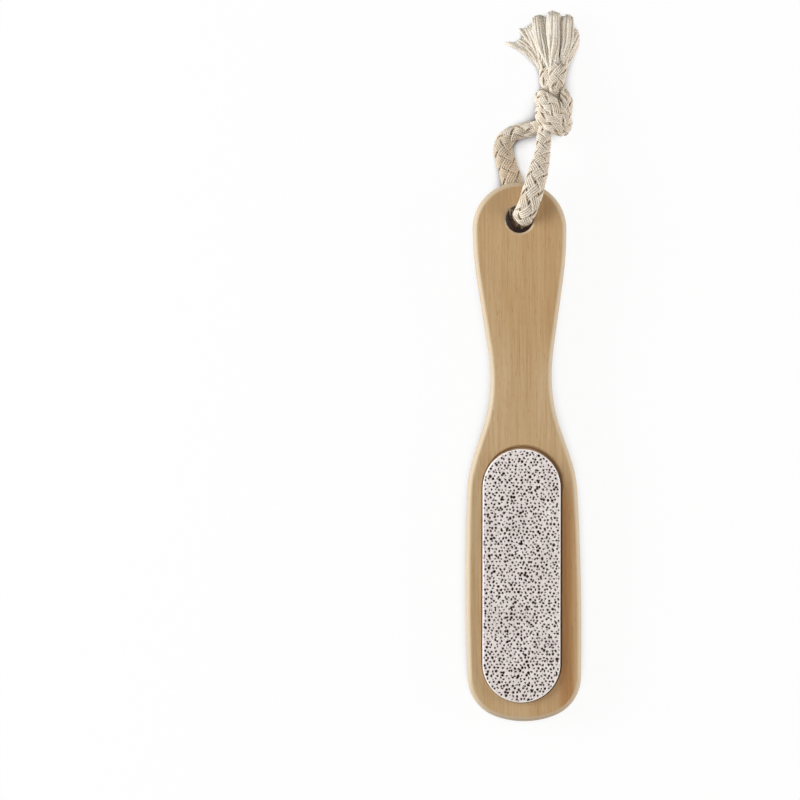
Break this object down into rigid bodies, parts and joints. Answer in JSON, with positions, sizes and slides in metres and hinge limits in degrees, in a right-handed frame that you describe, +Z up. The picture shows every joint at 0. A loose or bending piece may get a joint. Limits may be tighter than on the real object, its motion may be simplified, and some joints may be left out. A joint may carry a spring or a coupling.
{
  "type": "foot file",
  "caption": "Wooden paddle-shaped foot file with a pumice stone set in its head and a braided cotton hanging cord knotted through the handle.",
  "frame": {"origin": "on the table, under the middle of the paddle's box: the file lies on its back, on the head's tip and on the cord strand that passes under the handle's end", "axes": "+Y along the paddle from the head to the hanging end, +Z up, out of the stone's working face, +X to the right as the picture shows the file; the paddle leans 2 degrees because its handle lies on the cord"},
  "size_m": [0.0452, 0.2643, 0.0263],
  "materials": {
    "wood": "fine straight grain, sanded, with a thin matt lacquer",
    "pumice": "pale grey, matt, full of small open pores",
    "glue": "thin film of set wood glue",
    "cotton": "undyed cotton, plaited from soft yarns"
  },
  "bodies": {
    "file": {"wooden_paddle": "wood", "pumice_stone": "pumice", "glue_bed": "glue"},
    "cord": {"cord_front_leg": "cotton", "cord_back_leg": "cotton", "cord_knot": "cotton", "cord_tail_left": "cotton", "cord_tail_right": "cotton", "frayed_end_left": "cotton", "frayed_end_right": "cotton"}
  },
  "joints": [
    {"name": "cord_swivel", "type": "hinge", "parent": "file", "child": "cord", "pos_m": [0, 0.08625, 0.012], "axis": [0, -0.0353, 0.9994], "range_deg": [-58, 92]}
  ]
}
